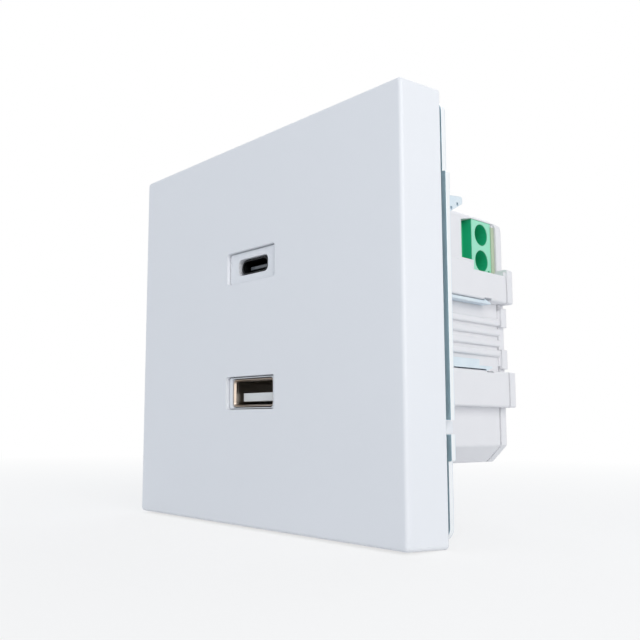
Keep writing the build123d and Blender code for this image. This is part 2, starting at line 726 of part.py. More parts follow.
def usb_c_shell():
    """Drawn steel shell of the USB-C port."""
    tube = SlotOverall(C_WIDTH, C_HEIGHT)
    bore = SlotOverall(C_WIDTH - 2 * SHELL_SHEET, C_HEIGHT - 2 * SHELL_SHEET)
    return prism(Pos(0, PORT_RISE) * (tube - bore), SHELL_MOUTH, PORT_BOARD_FRONT)


def usb_c_tongue():
    """Moulded insulator: the back wall and the thin tongue of the USB-C port."""
    wall = SlotOverall(C_WIDTH - 2 * SHELL_SHEET - PIN_GAP, C_HEIGHT - 2 * SHELL_SHEET - PIN_GAP)
    shape = prism(Pos(0, PORT_RISE) * wall, RECEPTACLE_WALL, PORT_BOARD_FRONT)
    tongue = Rectangle(C_TONGUE_WIDTH, C_TONGUE_HEIGHT)
    shape += prism(Pos(0, PORT_RISE) * tongue, TONGUE_TIP, RECEPTACLE_WALL)
    for bar in c_contact_bars():
        shape -= bar
    return shape


def riser_place():
    """Left and right faces of the riser board."""
    left = LEDGE + RISER_THICKNESS / 2 - BODY_HALF + WALL
    return (left, left + RISER_THICKNESS)


def riser_board(grow=0.0):
    """Upright board between the two boards, with a tab through each."""
    left, right = riser_place()
    x = (left - grow, right + grow)
    half = RISER_HEIGHT / 2
    tab = half / 2 + grow
    shape = block(x, (PORT_BOARD_BACK, POWER_BOARD_FRONT), (-half, half))
    return shape + block(x, (PORT_BOARD_FRONT, POWER_BOARD_BACK), (-tab, tab))


def port_board():
    """Board behind the ports, cut away round the screwdriver tubes."""
    rise = BODY_TOP - WALL - FRAME_GAP
    sheet = Rectangle(2 * BOARD_HALF, 2 * rise)
    sheet = chamfer(sheet.vertices(), BODY_BOTTOM_BEVEL - WALL / 2)
    cut_left = CLAMP_X - DRIVER_TUBE - FRAME_GAP
    cut_low = POLES["lower"] - DRIVER_TUBE - FRAME_GAP
    board = prism(sheet, PORT_BOARD_FRONT, PORT_BOARD_BACK)
    through = (PORT_BOARD_FRONT, PORT_BOARD_BACK)
    board -= block((cut_left, BODY_HALF), through, (cut_low, BODY_TOP))
    board -= riser_board(PIN_GAP)
    for bar in a_contact_bars(PIN_GAP):
        board -= bar
    return board


def bar_pin(z, grow=0.0):
    """Solder pin of one terminal bar."""
    x = (TERMINAL_INNER + BAR_THICKNESS - grow, TERMINAL_INNER + 2 * BAR_THICKNESS + grow)
    half = BAR_THICKNESS / 2 + grow
    return block(x, (BAR_FRONT, POWER_BOARD_BACK + PIN_TAIL), (z - half, z + half))


def power_board():
    """Mains board in front of the lid; it carries the terminal and the converter."""
    z = (POWER_BOARD_BOTTOM, POWER_BOARD_TOP)
    through = (POWER_BOARD_FRONT, POWER_BOARD_BACK)
    board = block((-BOARD_HALF, BOARD_HALF), through, z)
    board += block((TERMINAL_INNER, BOARD_TAB), through, (TERMINAL_BOTTOM, BOARD_TAB_TOP))
    for x, boss_z in LID_SCREWS:
        board -= rod(x, boss_z, BOSS_RADIUS + FRAME_GAP, *through)
    low_boss = BOSS_BOTTOM_INSET - BODY_TOP
    board -= both_sides(block((SIDE_BOSS, BODY_HALF), through, (-BODY_TOP, low_boss)))
    board -= riser_board(PIN_GAP)
    for pole in POLES.values():
        board -= bar_pin(pole, PIN_GAP)
    return board


def terminal_body():
    """Moulded two-pole terminal: screws to the front, wires from the right."""
    shape = top_prism(
        outline(
            (TERMINAL_INNER, TERMINAL_FRONT),
            (TERMINAL_STEP, TERMINAL_FRONT),
            (TERMINAL_STEP, WIRE_FACE_FRONT),
            (TERMINAL_FACE, WIRE_FACE_FRONT),
            (TERMINAL_FACE, POWER_BOARD_FRONT),
            (TERMINAL_INNER, POWER_BOARD_FRONT),
        ),
        TERMINAL_BOTTOM,
        TERMINAL_TOP,
    )
    mark = Pos(POWER_BOARD_FRONT - MARK_INSET, TERMINAL_BOTTOM + MARK_INSET) * Circle(MARK_RADIUS)
    shape -= side_prism(mark, TERMINAL_FACE - MARK_DEPTH, TERMINAL_FACE)
    neck_start = CAGE_FAR + FRAME_GAP - MOULD_GAP
    for z in POLES.values():
        half = CAGE_WIDTH / 2 + WINDOW_GAP
        room_x = (CAGE_NEAR - FRAME_GAP, CAGE_FAR + FRAME_GAP)
        shape -= block(room_x, (CAGE_ROOM_FRONT, POWER_BOARD_FRONT), (z - half, z + half))
        shape -= rod(CLAMP_X, z, CLAMP_HEAD_RADIUS + FRAME_GAP, TERMINAL_FRONT, SEAT_FRONT)
        shape -= rod(CLAMP_X, z, CLAMP_SCREW_RADIUS + WINDOW_GAP, SEAT_FRONT, CAGE_ROOM_FRONT)
        mouth = Pos(WIRE_CENTRE, z) * Circle(WIRE_HOLE_RADIUS)
        shape -= side_prism(mouth, TERMINAL_FACE - WIRE_HOLE_DEPTH, TERMINAL_FACE)
        neck = Pos(WIRE_GAP_CENTRE, z) * Circle(WIRE_NECK_RADIUS)
        shape -= side_prism(neck, neck_start, TERMINAL_FACE - WIRE_HOLE_DEPTH)
        slot = BAR_WIDTH / 2 + PIN_GAP
        slot_x = (TERMINAL_INNER + BAR_THICKNESS - PIN_GAP, CAGE_NEAR)
        shape -= block(slot_x, (BAR_FRONT - PIN_GAP, POWER_BOARD_FRONT), (z - slot, z + slot))
    return shape


def terminal_screw(z):
    """Slotted clamp screw of one pole."""
    screw = rod(CLAMP_X, z, CLAMP_HEAD_RADIUS, HEAD_FRONT, HEAD_BACK)
    screw += rod(CLAMP_X, z, CLAMP_SCREW_RADIUS, HEAD_BACK, BAR_FRONT - PIN_GAP)
    slot = CLAMP_HEAD_HEIGHT / 4
    reach = (CLAMP_X - CLAMP_HEAD_RADIUS, CLAMP_X + CLAMP_HEAD_RADIUS)
    return screw - block(reach, (HEAD_FRONT, HEAD_FRONT + 2 * slot), (z - slot, z + slot))


def terminal_cage(z):
    """Rising clamp of one pole, stored open."""
    half = CAGE_WIDTH / 2
    cage = block((CAGE_NEAR, CAGE_FAR), (CAGE_FRONT, CAGE_BACK), (z - half, z + half))
    inner = half - CAGE_WALL
    wire_room = (CAGE_FRONT + CAGE_TOP, CAGE_BACK - CAGE_FLOOR)
    cage -= block((CAGE_NEAR, CAGE_FAR), wire_room, (z - inner, z + inner))
    return cage - rod(CLAMP_X, z, CLAMP_SCREW_RADIUS + THREAD_GAP, CAGE_FRONT, BAR_FRONT)


def terminal_bars():
    """Contact bars of both poles, each with its solder pin."""
    bars = []
    for z in POLES.values():
        half = BAR_WIDTH / 2
        x = (TERMINAL_INNER + BAR_THICKNESS, CAGE_FAR - FRAME_GAP)
        bars.append(block(x, (BAR_FRONT, BAR_BACK), (z - half, z + half)) + bar_pin(z))
    return group(bars)


def can(x, z, radius, height, back):
    """Electrolytic capacitor standing on a board's front."""
    shape = rod(x, z, radius, back - height, back)
    return chamfer(shape.faces().sort_by(Axis.Y)[0].edges(), radius / 8)


def on_power_board(x, z, size):
    """A plain moulded part standing on the power board's front."""
    wide, high, tall = size
    shape = block(
        (x - wide / 2, x + wide / 2),
        (POWER_BOARD_FRONT - tall, POWER_BOARD_FRONT),
        (z - high / 2, z + high / 2),
    )
    return chamfer(shape.faces().sort_by(Axis.Y)[0].edges(), high / 10)


def transformer():
    """Ferrite core with its bobbin and winding, by name."""
    front = POWER_BOARD_FRONT - CORE_DEPTH
    half = CORE_WIDTH / 2
    z = (CORE_Z - CORE_HEIGHT / 2, CORE_Z + CORE_HEIGHT / 2)
    core_z = (z[0] + BOBBIN_FLANGE, z[1] - BOBBIN_FLANGE)
    hole = (front + CORE_LEG, POWER_BOARD_FRONT - CORE_LEG)
    limbs = (CORE_X - half + CORE_LEG / 2, CORE_X + half - CORE_LEG / 2)
    core = block((CORE_X - half, CORE_X + half), (front, POWER_BOARD_FRONT), core_z)
    core -= block(limbs, hole, z)
    core += rod(CORE_X, CORE_Z, CORE_LEG, *hole)
    inner = CORE_LEG + MOULD_GAP
    tube = inner + BOBBIN_FLANGE
    column = (hole[0] + MOULD_GAP, hole[1] - MOULD_GAP)
    side = (limbs[0] + MOULD_GAP, limbs[1] - MOULD_GAP)
    bobbin = rod(CORE_X, CORE_Z, tube, *column)
    for start in (column[0], column[1] - BOBBIN_FLANGE):
        bobbin += block(side, (start, start + BOBBIN_FLANGE), z)
    bobbin -= rod(CORE_X, CORE_Z, inner, *column)
    wound = (column[0] + BOBBIN_FLANGE, column[1] - BOBBIN_FLANGE)
    reach = (side[1] - side[0]) / 2 - BOBBIN_FLANGE
    winding = rod(CORE_X, CORE_Z, reach, *wound) - rod(CORE_X, CORE_Z, tube, *wound)
    return {
        "transformer_core": core,
        "transformer_bobbin": bobbin,
        "transformer_winding": winding,
    }


def heat_sink():
    """Aluminium plate beside the power switch, folded over its end."""
    low = CORE_Z + CORE_HEIGHT / 2 + 2 * FRAME_GAP
    front = POWER_BOARD_FRONT - SINK_HEIGHT
    fold = low + SINK_SHEET + SINK_LIP
    profile = outline(
        (POWER_BOARD_FRONT, low),
        (front, low),
        (front, fold),
        (front + SINK_SHEET, fold),
        (front + SINK_SHEET, low + SINK_SHEET),
        (POWER_BOARD_FRONT, low + SINK_SHEET),
    )
    return side_prism(profile, CORE_X - SINK_WIDTH / 2, CORE_X + SINK_WIDTH / 2)


def power_switch():
    """Transistor body against the heat sink."""
    low = CORE_Z + CORE_HEIGHT / 2 + 2 * FRAME_GAP + SINK_SHEET
    right = CORE_X + SINK_WIDTH / 2
    return block(
        (right - SWITCH_WIDTH, right),
        (POWER_BOARD_FRONT - SWITCH_HEIGHT, POWER_BOARD_FRONT),
        (low, low + SWITCH_DEPTH),
    )


def line_choke():
    """Wound ring core lying on the board."""
    front = POWER_BOARD_FRONT - CHOKE_HEIGHT
    ring = rod(CHOKE_X, CHOKE_Z, CHOKE_RADIUS, front, POWER_BOARD_FRONT)
    ring -= rod(CHOKE_X, CHOKE_Z, CHOKE_HOLE, front, POWER_BOARD_FRONT)
    return chamfer(ring.edges().filter_by(GeomType.CIRCLE), (CHOKE_RADIUS - CHOKE_HOLE) / 4)


def disc_part(x, z):
    """Coated disc standing on its edge on the power board."""
    disc = Pos(POWER_BOARD_FRONT - DISC_RADIUS, z) * Circle(DISC_RADIUS)
    shape = side_prism(disc, x - DISC_THICKNESS / 2, x + DISC_THICKNESS / 2)
    return chamfer(shape.edges().filter_by(GeomType.CIRCLE), DISC_THICKNESS / 4)


def on_port_board(x, z, wide, high, tall):
    """A low part behind the port board."""
    return block(
        (x - wide / 2, x + wide / 2),
        (PORT_BOARD_BACK, PORT_BOARD_BACK + tall),
        (z - high / 2, z + high / 2),
    )


def converter_parts():
    """Everything soldered to the two boards besides the ports and the terminal."""
    gap = INDUCTOR_SIZE
    varistor_z = TERMINAL_BOTTOM - DISC_RADIUS - 2 * FRAME_GAP
    parts = transformer()
    parts["heat_sink"] = heat_sink()
    parts["power_switch"] = power_switch()
    parts["line_choke"] = line_choke()
    parts["film_capacitor"] = on_power_board(FILM_X, FILM_Z, FILM_SIZE)
    parts["fuse"] = on_power_board(FUSE_X, FUSE_Z, FUSE_SIZE)
    parts["bridge_rectifier"] = on_power_board(BRIDGE_X, BRIDGE_Z, BRIDGE_SIZE)
    parts["varistor"] = disc_part(FILM_X + DISC_THICKNESS, varistor_z)
    parts["safety_capacitor"] = disc_part(DISC_THICKNESS, FILM_Z)
    bulk = [can(x, z, BULK_RADIUS, BULK_HEIGHT, POWER_BOARD_FRONT) for x, z in BULK_PLACES]
    output = [can(x, z, OUTPUT_RADIUS, OUTPUT_HEIGHT, POWER_BOARD_FRONT) for x, z in OUTPUT_PLACES]
    parts["input_capacitors"] = group(bulk)
    parts["output_capacitors"] = group(output)
    coils = [on_port_board(x, 0, INDUCTOR_SIZE, INDUCTOR_SIZE, INDUCTOR_HEIGHT) for x in (-gap, gap)]
    chips = [on_port_board(x, -gap, *CHIP_SIZE) for x in (-gap, gap)]
    parts["port_inductors"] = group(coils)
    parts["port_controllers"] = group(chips)
    return parts


def all_parts():
    """Every node of the socket, by name."""
    parts = {
        "front_plate": front_plate(),
        "steel_frame": steel_frame(),
        "housing": housing(),
        "front_cover": front_cover(),
        "rear_lid": rear_lid(),
        "lid_screws": lid_screws(),
        "port_board": port_board(),
        "power_board": power_board(),
        "riser_board": riser_board(),
        "usb_a_shell": usb_a_shell(),
        "usb_a_tongue": usb_a_tongue(),
        "usb_a_contacts": group(a_contact_bars(0)),
        "usb_c_shell": usb_c_shell(),
        "usb_c_tongue": usb_c_tongue(),
        "usb_c_contacts": group(c_contact_bars()),
        "terminal_body": terminal_body(),
        "terminal_bars": terminal_bars(),
    }
    parts.update(clips())
    parts.update(converter_parts())
    for pole, z in POLES.items():
        parts[f"terminal_screw_{pole}"] = terminal_screw(z)
        parts[f"terminal_cage_{pole}"] = terminal_cage(z)
    return parts


os.makedirs("parts", exist_ok=True)
for name, shape in all_parts().items():
    export_step(shape, f"parts/{name}.step")
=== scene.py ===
import json
import math

import bpy
from mathutils import Matrix, Vector


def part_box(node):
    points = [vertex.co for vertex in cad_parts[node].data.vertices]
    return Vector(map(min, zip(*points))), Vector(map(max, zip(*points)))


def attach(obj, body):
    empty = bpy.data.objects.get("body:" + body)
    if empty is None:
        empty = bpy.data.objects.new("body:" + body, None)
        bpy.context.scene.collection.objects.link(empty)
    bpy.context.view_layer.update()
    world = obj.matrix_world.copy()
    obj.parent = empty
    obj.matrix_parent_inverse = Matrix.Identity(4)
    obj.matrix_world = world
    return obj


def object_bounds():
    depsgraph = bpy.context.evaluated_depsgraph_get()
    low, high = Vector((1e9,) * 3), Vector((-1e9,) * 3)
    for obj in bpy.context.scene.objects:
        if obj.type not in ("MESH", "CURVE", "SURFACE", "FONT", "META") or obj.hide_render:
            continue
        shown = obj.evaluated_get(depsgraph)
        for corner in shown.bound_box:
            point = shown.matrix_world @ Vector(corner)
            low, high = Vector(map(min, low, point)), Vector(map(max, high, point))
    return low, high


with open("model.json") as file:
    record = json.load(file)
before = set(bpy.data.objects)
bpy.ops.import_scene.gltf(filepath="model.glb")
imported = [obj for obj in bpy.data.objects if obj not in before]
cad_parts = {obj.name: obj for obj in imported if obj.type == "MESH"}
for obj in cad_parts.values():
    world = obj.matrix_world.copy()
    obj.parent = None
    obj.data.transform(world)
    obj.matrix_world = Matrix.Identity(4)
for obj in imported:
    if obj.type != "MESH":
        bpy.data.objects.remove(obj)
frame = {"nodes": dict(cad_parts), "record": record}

MM = 0.001
CAD_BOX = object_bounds()
NODES = frame["nodes"]

# Camera
CAMERA_PLACE = Vector((127.71, -119.79, -21.17)) * MM
CAMERA_YAW = math.radians(49.55)
CAMERA_PITCH = math.radians(6.53)
CAMERA_ROLL = math.radians(0.34)
CAMERA_LENS = 43.25
CAMERA_SHIFT = (0.0938, 0.0281)

# Light: a key from the right and weak cool fills, each with its place, width, watts and colour
LAMPS = {
    "key_right": ((0.60, -0.24, 0.26), 0.5, 2.3, (1.0, 0.975, 0.94)),
    "fill_front": ((-0.20, -0.70, 0.30), 0.6, 0.4, (0.86, 0.92, 1.0)),
    "fill_back": ((-0.35, 0.60, 0.35), 0.6, 1.6, (0.9, 0.95, 1.0)),
}
WORLD_COLOUR = (0.86, 0.92, 1.0, 1.0)
WORLD_STRENGTH = 0.52
BACKGROUND_WHITE = (1.0, 1.0, 1.0, 1.0)

# Floor: the share of plain white in it, which grows between two distances from the middle
FLOOR_SIZE = 6.0
FLOOR_COLOUR = (0.92, 0.92, 0.92, 1.0)
FLOOR_ROUGHNESS = 0.9
FLOOR_GLOW = (0.70, 1.0)
FLOOR_FADE = (0.06, 0.40)

# Radius of the soft edges that catch the light
PLASTIC_EDGE = 0.2 * MM
METAL_EDGE = 0.1 * MM
EDGE_SAMPLES = 6

# Noise and relief: how much finer detail clouds and grain carry, and the strength of a weak relief
CLOUD_DETAIL = 3.0
GRAIN_DETAIL = 2.0
WEAK_RELIEF = 0.5

# Moulded plastic: flow clouds per metre, and how far its roughness strays
FLOW_CLOUDS = 60.0
PLASTIC_STRAY = (-0.05, 0.07)

# Zinc plating: its share of bare-metal reflection, then tint clouds, crystals and grains per metre
ZINC_METALLIC = 0.7
ZINC_CLOUDS = (60.0, 60.0, 40.0)
ZINC_CLOUD_RANGE = (0.35, 0.65)
ZINC_CRYSTALS = 700.0
CRYSTAL_SHADES = ((0.96, 0.96, 0.96), (1.0, 1.0, 1.0))
ZINC_GRAIN = 1200.0
ZINC_RELIEF = 0.001 * MM
ZINC_STRAY = (-0.03, 0.05)

# Depths at which the painted highlight on the frame's sheared edges and the painted reflection on its front
# face begin, and the slopes of an edge's normal
SHEET_EDGE = (-0.05 * MM, -0.15 * MM)
SHEET_FRONT = (-1.1 * MM, -1.18 * MM)
EDGE_SLOPE = (-0.5, -0.1)

# Drawn metal: lines per metre on each axis, their dark and light shades, relief and roughness
DRAWN_LINES = (5000.0, 150.0, 5000.0)
DRAWN_SHADES = (0.86, 1.1)
DRAWN_RELIEF = 0.005 * MM
DRAWN_STRAY = (-0.06, 0.1)

# Circuit board: glass layers per metre on each axis, their waver, roughness and relief
GLASS_LAYERS = (300.0, 1300.0, 300.0)
GLASS_WAVER = 1.5
GLASS_ROUGHNESS = (0.35, 0.55)
GLASS_RELIEF = 0.01 * MM

# Coil: the dark and light shades of its turns, their slant, relief and roughness
COIL_SHADES = (0.45, 1.1)
COIL_SLANT = 0.25
COIL_RELIEF = 0.08 * MM
COIL_STRAY = (0.1, -0.05)

# Terminal: its deep green and the pale green of a painted sheen on the wire face, the depths behind the
# wire face where that painted sheen begins and is full, and its grain
TERMINAL_DEEP = (0.015, 0.50, 0.235)
TERMINAL_PAINTED_SHEEN = (0.335, 0.78, 0.565)
PAINTED_SHEEN_DEPTHS = (0.25 * MM, 0.02 * MM)
TERMINAL_GRAIN = 3000.0
TERMINAL_RELIEF = 0.005 * MM
TERMINAL_ROUGHNESS = (0.34, 0.5)

# Facings on the ports' pads, with the holes in them
FACING_DEPTH = 0.65 * MM
FACING_HALF = (7.85 * MM, 3.4 * MM)
FACING_CORNER = 0.6 * MM
HOLE_HALF = {"usb_a": (6.8 * MM, 3.2 * MM), "usb_c": (5.0 * MM, 1.85 * MM)}
HOLE_CORNER = {"usb_a": 0.7 * MM, "usb_c": 1.1 * MM}

# Edges that bring the ports' shells forward into the facings, rolled outward by their flare
LIP_SETBACK = {"usb_a": 0.2 * MM, "usb_c": 0.6 * MM}
LIP_FLARE = {"usb_a": 0.1 * MM, "usb_c": 0.0}
LIP_CORNER = {"usb_a": 0.7 * MM, "usb_c": 1.58 * MM}
LIP_RIM = {"usb_a": 0.12 * MM, "usb_c": 0.3 * MM}
LIP_SHEET = 0.3 * MM
LIP_ROLL = 0.5 * MM

# Corners of an upright rectangle in turn, and the steps round each
CORNERS = ((1, 1), (-1, 1), (-1, -1), (1, -1))
CORNER_STEPS = 6

# Sockets of a colour mix node, which has others of the same names
MIX_SHARE, MIX_UNDER, MIX_OVER, MIX_RESULT = 0, 6, 7, 2


def add(tree, kind, **settings):
    """A new shader node with some of its properties set."""
    node = tree.nodes.new(kind)
    for name, value in settings.items():
        setattr(node, name, value)
    return node


def place(tree, scale):
    """Object coordinates stretched by a scale per axis, in turns per metre."""
    source = add(tree, "ShaderNodeTexCoord")
    stretch = add(tree, "ShaderNodeMapping")
    stretch.inputs["Scale"].default_value = scale
    tree.links.new(source.outputs["Object"], stretch.inputs["Vector"])
    return stretch.outputs["Vector"]


def pattern(tree, kind, scale, **settings):
    """A texture node on object coordinates, with a scale per axis in turns per metre."""
    texture = add(tree, kind, **settings)
    texture.inputs["Scale"].default_value = 1.0
    tree.links.new(place(tree, scale), texture.inputs["Vector"])
    return texture


def noise(tree, scale, detail):
    """Noise with one grain per 1/scale metres on each axis."""
    texture = pattern(tree, "ShaderNodeTexNoise", scale)
    texture.inputs["Detail"].default_value = detail
    return texture.outputs["Fac"]


def grained(tree, grain):
    """Fine noise that is alike on all axes, in grains per metre."""
    return noise(tree, (grain, grain, grain), GRAIN_DETAIL)


def ranged(tree, value, old=(0.0, 1.0), new=(0.0, 1.0)):
    """A value moved from one range to another and kept inside it."""
    node = add(tree, "ShaderNodeMapRange")
    node.inputs["From Min"].default_value, node.inputs["From Max"].default_value = old
    node.inputs["To Min"].default_value, node.inputs["To Max"].default_value = new
    tree.links.new(value, node.inputs["Value"])
    return node.outputs["Result"]


def along(tree, axis, limits, kind="Object"):
    """0 to 1 between two places on one of the object's axes, or between two slopes of its normal."""
    source = add(tree, "ShaderNodeTexCoord")
    split = add(tree, "ShaderNodeSeparateXYZ")
    tree.links.new(source.outputs[kind], split.inputs["Vector"])
    return ranged(tree, split.outputs[axis], limits)


def combined(tree, operation, first, second):
    """One value worked out from two."""
    node = add(tree, "ShaderNodeMath", operation=operation)
    tree.links.new(first, node.inputs[0])
    tree.links.new(second, node.inputs[1])
    return node.outputs[0]


def two_tone(tree, value, first, second):
    """A colour between two, by a 0 to 1 value."""
    ramp = add(tree, "ShaderNodeValToRGB")
    ramp.color_ramp.elements[0].color = (*first, 1.0)
    ramp.color_ramp.elements[1].color = (*second, 1.0)
    tree.links.new(value, ramp.inputs["Fac"])
    return ramp.outputs["Color"]


def shaded(tree, under, over):
    """A colour darkened by another."""
    mix = add(tree, "ShaderNodeMix", data_type="RGBA", blend_type="MULTIPLY")
    mix.inputs[MIX_SHARE].default_value = 1.0
    tree.links.new(under, mix.inputs[MIX_UNDER])
    tree.links.new(over, mix.inputs[MIX_OVER])
    return mix.outputs[MIX_RESULT]


def layered(tree, share, under, over):
    """A plain colour over another, by a 0 to 1 share."""
    mix = add(tree, "ShaderNodeMix", data_type="RGBA")
    tree.links.new(share, mix.inputs[MIX_SHARE])
    tree.links.new(under, mix.inputs[MIX_UNDER])
    mix.inputs[MIX_OVER].default_value = (*over, 1.0)
    return mix.outputs[MIX_RESULT]


def mixed_shaders(tree, share, first, second):
    """One shader or another, by a 0 to 1 share."""
    mix = add(tree, "ShaderNodeMixShader")
    tree.links.new(share, mix.inputs[0])
    tree.links.new(first.outputs[0], mix.inputs[1])
    tree.links.new(second.outputs[0], mix.inputs[2])
    return mix.outputs[0]


def tinted(colour, factor):
    """A colour made lighter or darker."""
    return tuple(min(1.0, channel * factor) for channel in colour)


def start(name):
    """A new node material with its tree and main shader."""
    material = bpy.data.materials.new(name)
    material.use_nodes = True
    tree = material.node_tree
    return material, tree, tree.nodes["Principled BSDF"]


def surface(tree, shader, paint, value, roughness, depth, strength=1.0, edge=PLASTIC_EDGE):
    """Colour, uneven gloss, fine relief and soft edges on a shader, depth and edge radius in metres."""
    tree.links.new(paint, shader.inputs["Base Color"])
    tree.links.new(ranged(tree, value, new=roughness), shader.inputs["Roughness"])
    soft = add(tree, "ShaderNodeBevel", samples=EDGE_SAMPLES)
    soft.inputs["Radius"].default_value = edge
    relief = add(tree, "ShaderNodeBump")
    relief.inputs["Distance"].default_value = depth
    relief.inputs["Strength"].default_value = strength
    tree.links.new(soft.outputs["Normal"], relief.inputs["Normal"])
    tree.links.new(value, relief.inputs["Height"])
    tree.links.new(relief.outputs["Normal"], shader.inputs["Normal"])


def around(roughness, stray):
    """The range of a roughness that strays to both sides."""
    return roughness + stray[0], roughness + stray[1]


def moulded(name, colour, roughness, grain=4000.0, relief=0.004 * MM, mottle=0.02):
    """Moulded plastic: a fine eroded grain, faint flow clouds and uneven gloss."""
    material, tree, shader = start(name)
    clouds = noise(tree, (FLOW_CLOUDS, FLOW_CLOUDS, FLOW_CLOUDS), CLOUD_DETAIL)
    paint = two_tone(tree, clouds, tinted(colour, 1 - mottle), tinted(colour, 1 + mottle))
    surface(tree, shader, paint, grained(tree, grain), around(roughness, PLASTIC_STRAY), relief)
    return material


def rolled_steel(name, blue, green, front_zinc_and_painted_reflection, edge, roughness):
    """Passivated zinc on sheet steel: drifting tints over a faint spangle, with a painted pale blue
    reflection on the front face and a painted near-white highlight on the sheared edges.
    """
    material, tree, shader = start(name)
    shader.inputs["Metallic"].default_value = ZINC_METALLIC
    drift = ranged(tree, noise(tree, ZINC_CLOUDS, CLOUD_DETAIL), ZINC_CLOUD_RANGE)
    crystals = pattern(tree, "ShaderNodeTexVoronoi", (ZINC_CRYSTALS, ZINC_CRYSTALS, ZINC_CRYSTALS))
    spangle = two_tone(tree, crystals.outputs["Color"], *CRYSTAL_SHADES)
    zinc = shaded(tree, two_tone(tree, drift, blue, green), spangle)
    # Painted reflection: a pale blue tint over the zinc on the frame's front face, in the shaded gap behind
    # the plate
    zinc = layered(tree, along(tree, "Y", SHEET_FRONT), zinc, front_zinc_and_painted_reflection)
    # Painted highlight: near-white on the upright sheared edges
    upright = along(tree, "Y", EDGE_SLOPE, "Normal")
    painted_edge_highlight = combined(tree, "MULTIPLY", along(tree, "Y", SHEET_EDGE), upright)
    zinc = layered(tree, painted_edge_highlight, zinc, edge)
    gloss = around(roughness, ZINC_STRAY)
    surface(tree, shader, zinc, grained(tree, ZINC_GRAIN), gloss, ZINC_RELIEF, WEAK_RELIEF, METAL_EDGE)
    return material


def drawn_metal(name, colour, roughness):
    """Drawn or turned metal with fine lines along its depth."""
    material, tree, shader = start(name)
    shader.inputs["Metallic"].default_value = 1.0
    lines = noise(tree, DRAWN_LINES, CLOUD_DETAIL)
    dark, light = DRAWN_SHADES
    paint = two_tone(tree, lines, tinted(colour, dark), tinted(colour, light))
    gloss = around(roughness, DRAWN_STRAY)
    surface(tree, shader, paint, lines, gloss, DRAWN_RELIEF, WEAK_RELIEF, METAL_EDGE)
    return material


def laminate(name, colour, core):
    """Circuit board: a lacquered face over woven glass layers."""
    material, tree, shader = start(name)
    texture = pattern(tree, "ShaderNodeTexWave", GLASS_LAYERS, bands_direction="Y")
    texture.inputs["Distortion"].default_value = GLASS_WAVER
    weave = texture.outputs["Fac"]
    paint = two_tone(tree, weave, colour, core)
    surface(tree, shader, paint, weave, GLASS_ROUGHNESS, GLASS_RELIEF, WEAK_RELIEF)
    return material


def wound(name, colour, roughness, turns):
    """Coil: close turns of wire or tape, with dark lines between them."""
    material, tree, shader = start(name)
    scale = (turns * COIL_SLANT, turns, turns * COIL_SLANT)
    wire = pattern(tree, "ShaderNodeTexWave", scale, bands_direction="Y").outputs["Fac"]
    dark, light = COIL_SHADES
    paint = two_tone(tree, wire, tinted(colour, dark), tinted(colour, light))
    surface(tree, shader, paint, wire, around(roughness, COIL_STRAY), COIL_RELIEF)
    return material


def terminal_plastic(name):
    """Green polyamide in deep green, with a painted pale sheen on the wire face."""
    material, tree, shader = start(name)
    wire_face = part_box("terminal_body")[1].x
    # Painted sheen: pale green on the wire face, deep green behind it
    painted_sheen = along(tree, "X", [wire_face - depth for depth in PAINTED_SHEEN_DEPTHS])
    paint = two_tone(tree, painted_sheen, TERMINAL_DEEP, TERMINAL_PAINTED_SHEEN)
    surface(tree, shader, paint, grained(tree, TERMINAL_GRAIN), TERMINAL_ROUGHNESS, TERMINAL_RELIEF)
    return material


